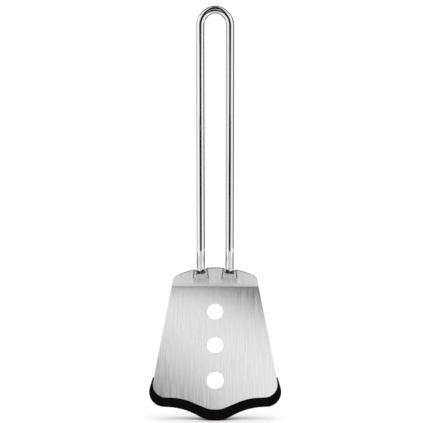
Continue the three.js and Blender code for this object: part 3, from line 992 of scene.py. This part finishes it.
def set_cards(layout, eye, floor):
    """Flags that give the metal its contrast: dark stripes and edges, and soft dark corners on the blade."""
    # Places on the blade are in mm, angles in degrees and other lengths in metres.
    near, over, far = 0.3, 0.5, 1.2
    black, dark, pale = 0.02, 0.05, 0.65
    ground = floor + 0.1 * MM
    card("horizon_flag", black, upright(0, 31, far, -0.31, -0.14))
    card("upper_blade_flag", black, mirrored(layout, eye, near, [
        (-113, 14), (113, 14), (113, 65), (130, 90), (100, 170), (95, 200), (140, 290), (20, 290), (20, 114),
        (-20, 114), (-20, 290), (-150, 290), (-134, 218), (-137, 100), (-113, 65)]))
    fold_middle = mirrored(layout, eye, 0.2, [(0, -1), (0, 35)])
    card("left_fold_flag", black, mirrored(layout, eye, 0.17, [(-75, 30), (-75, 0)]) + fold_middle)
    card("right_fold_flag", black, fold_middle + mirrored(layout, eye, 0.5, [(130, 70), (130, -60)]))
    card("loop_flag", black, mirrored(layout, eye, near, [(-20, 142), (20, 142), (20, 290), (-20, 290)]))
    card("lower_blade_flag", 0.1, mirrored(layout, eye, near, [(-110, 3), (25, -119), (-110, -119)]))
    card("overhead_flag", 0.03, level(over, [
        (-0.75, -0.95), (0.75, -0.95), (0.5, -0.7), (0.08, -0.02), (-0.08, -0.02), (-0.5, -0.7)]))
    card("crest_flag", 0.03, strip(over, (0.2, 0.02), (0.2, 0.4)))
    card("left_crest_flag", black, level(over, [(-0.9, -0.05), (-0.2, -0.05), (-0.2, 0.4), (-0.9, 0.4)]))
    card("right_crest_flag", black, level(over, [(0.2, -0.05), (0.9, -0.05), (0.9, 0.4), (0.2, 0.4)]))
    card("far_front_floor", dark, level(ground, [(-0.1, -1.2), (0.25, -1.2), (0.07, -0.32), (-0.03, -0.32)]))
    card("neck_flag", dark, upright(0, 31, 0.5, floor, -0.235))
    card("neck_front_floor", dark, strip(ground, (0.3, -0.5), (0.1, -0.32)))
    card("middle_front_floor", 0.3, strip(ground, (0.19, -0.32), (0.16, -0.24)))
    # The two near floor cards are grey copies of the floor that show only in reflections: painted shade of
    # the floor round the turner.
    card("near_front_floor", pale, strip(ground, (0.16, -0.24), (0.09, -0.01)))
    card("near_back_floor", pale, strip(ground, (0.3, 0.02), (0.45, 0.17)))
    card("far_back_floor", dark, strip(ground, (0.45, 0.17), (1.2, 1.3)))
    card("back_flag", dark, upright(180, 30, far, floor, 0.1))
    card("left_back_flag", 0.4, upright(-132, 18, far, -0.6, 0.6))
    card("right_back_flag", dark, upright(124, 28, far, -0.6, 0.6))


def seen_directly(tree):
    """A socket that is 1 for what the camera, metal and glass see, and 0 for the light on other things."""
    path = add(tree, "ShaderNodeLightPath")
    seen = add(tree, "ShaderNodeMath", {0: path.outputs["Is Camera Ray"], 1: path.outputs["Is Glossy Ray"]},
               operation="MAXIMUM")
    clear = add(tree, "ShaderNodeMath", {0: seen, 1: path.outputs["Is Transmission Ray"]},
                operation="MAXIMUM")
    return clear.outputs["Value"]


def floor_material():
    """A white floor: a deep shadow painted into its colour where the tip meets it, a soft shadow round it,
    partly painted and partly cast, and white further out.
    """
    material, tree = blank_material("white_floor")
    place = add(tree, "ShaderNodeTexCoord").outputs["Object"]
    flat = add(tree, "ShaderNodeVectorMath", {0: place, 1: (1, 1, 0)}, operation="MULTIPLY")
    away = add(tree, "ShaderNodeVectorMath", {0: flat}, operation="LENGTH").outputs["Value"]
    fade = add(tree, "ShaderNodeMapRange", {
        "Value": away, "From Min": SHADOW_REACH / 2, "From Max": SHADOW_REACH},
        interpolation_type="SMOOTHSTEP")
    # The painted contact shadow looks forward and up. Only a linked direction counts, so a node gives it.
    forward = add(tree, "ShaderNodeCombineXYZ", {"X": 0, "Y": -0.9, "Z": 0.44})
    # The floor's colour darkens where the turner hides the floor nearby: a painted shadow.
    near = add(tree, "ShaderNodeAmbientOcclusion", {"Distance": CONTACT_REACH, "Normal": forward})
    painted_contact_shadow = add(tree, "ShaderNodeMapRange", {
        "Value": near.outputs["AO"], "From Min": 0.45, "From Max": 0.78, "To Min": 0.05, "To Max": 0.97})
    paint = add(tree, "ShaderNodeBsdfDiffuse", {"Color": painted_contact_shadow})
    white = add(tree, "ShaderNodeEmission", {"Color": WHITE, "Strength": 1})
    shown = add(tree, "ShaderNodeMath", {0: fade, 1: seen_directly(tree)}, operation="MULTIPLY")
    mixed = add(tree, "ShaderNodeMixShader", {0: shown, 1: paint, 2: white})
    add(tree, "ShaderNodeOutputMaterial", {"Surface": mixed})
    return material


def set_floor(height):
    """A square floor under the turner."""
    corners = strip(height, (FLOOR_HALF, -FLOOR_HALF), (FLOOR_HALF, FLOOR_HALF))
    mesh_object("floor", corners, [range(len(corners))], floor_material())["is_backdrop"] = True


def set_lamp(aim):
    """A soft square lamp overhead, aimed at a point."""
    light = bpy.data.lights.new("overhead_lamp", "AREA")
    light.size = LAMP_SIZE
    light.energy = LAMP_WATTS
    lamp = placed("overhead_lamp", light)
    lamp.location = LAMP_PLACE
    lamp.rotation_euler = (aim - LAMP_PLACE).to_track_quat("-Z", "Y").to_euler()
    lamp.visible_camera = False
    lamp.visible_glossy = False


def set_world():
    """A white surround that is seen in full and lights the turner at a plain level."""
    world = bpy.data.worlds.new("studio")
    world.use_nodes = True
    tree = world.node_tree
    tree.nodes.clear()
    shown = add(tree, "ShaderNodeMapRange", {
        "Value": seen_directly(tree), "To Min": SURROUND_LIGHT, "To Max": 1})
    glow = add(tree, "ShaderNodeBackground", {"Color": WHITE, "Strength": shown})
    add(tree, "ShaderNodeOutputWorld", {"Surface": glow})
    bpy.context.scene.world = world


def set_camera(stage, eye, aim):
    """The photograph's camera."""
    lens = bpy.data.cameras.new("camera")
    lens.sensor_width = stage.sensor
    lens.lens = stage.sensor * stage.distance / (stage.picture * stage.pixel)
    lens.clip_end = 100
    camera = placed("camera", lens)
    camera.location = eye
    camera.rotation_euler = (aim - eye).to_track_quat("-Z", "Y").to_euler()
    bpy.context.scene.camera = camera


class TURNER_OT_stage(bpy.types.Operator):
    """Sets the white stage: floor, surround, lamp, reflection cards and camera"""
    bl_idname = "turner.stage"
    bl_label = "Stage"

    def execute(self, context):
        stage = context.scene.turner.stage
        aim = Vector(stage.aim)
        eye = aim + stage.distance * Vector((0, -math.cos(stage.elevation), math.sin(stage.elevation)))
        set_camera(stage, eye, aim)
        set_world()
        set_lamp(aim)
        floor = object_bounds()[0][2]
        set_floor(floor)
        set_cards(Layout(context.scene.turner), eye, floor)
        context.scene.view_settings.view_transform = "Standard"
        return {"FINISHED"}


class TURNER_PT_panel(bpy.types.Panel):
    """Lists the steps that build the turner"""
    bl_label = "Kitchen turner"
    bl_space_type = "VIEW_3D"
    bl_region_type = "UI"
    bl_category = "Turner"

    def draw(self, context):
        for operator in OPERATORS:
            self.layout.operator(operator.bl_idname)


OPERATORS = (TURNER_OT_wire, TURNER_OT_blade, TURNER_OT_silicone, TURNER_OT_welds, TURNER_OT_stage)
GROUPS = (WireSizes, BladeSizes, WaveSizes, HoodSizes, SiliconeSizes, WeldSizes, StageSizes, Finishes,
          TurnerSettings)


def register():
    """Registers the classes and the scene's settings."""
    for made in (*GROUPS, *OPERATORS, TURNER_PT_panel):
        bpy.utils.register_class(made)
    bpy.types.Scene.turner = PointerProperty(type=TurnerSettings)


def unregister():
    """Removes the classes and the scene's settings."""
    del bpy.types.Scene.turner
    for made in reversed((*GROUPS, *OPERATORS, TURNER_PT_panel)):
        bpy.utils.unregister_class(made)


def main():
    """Builds every piece and the stage."""
    register()
    bpy.ops.turner.wire()
    bpy.ops.turner.blade()
    bpy.ops.turner.silicone()
    bpy.ops.turner.welds()
    bpy.ops.turner.stage()


if __name__ == "__main__":
    main()
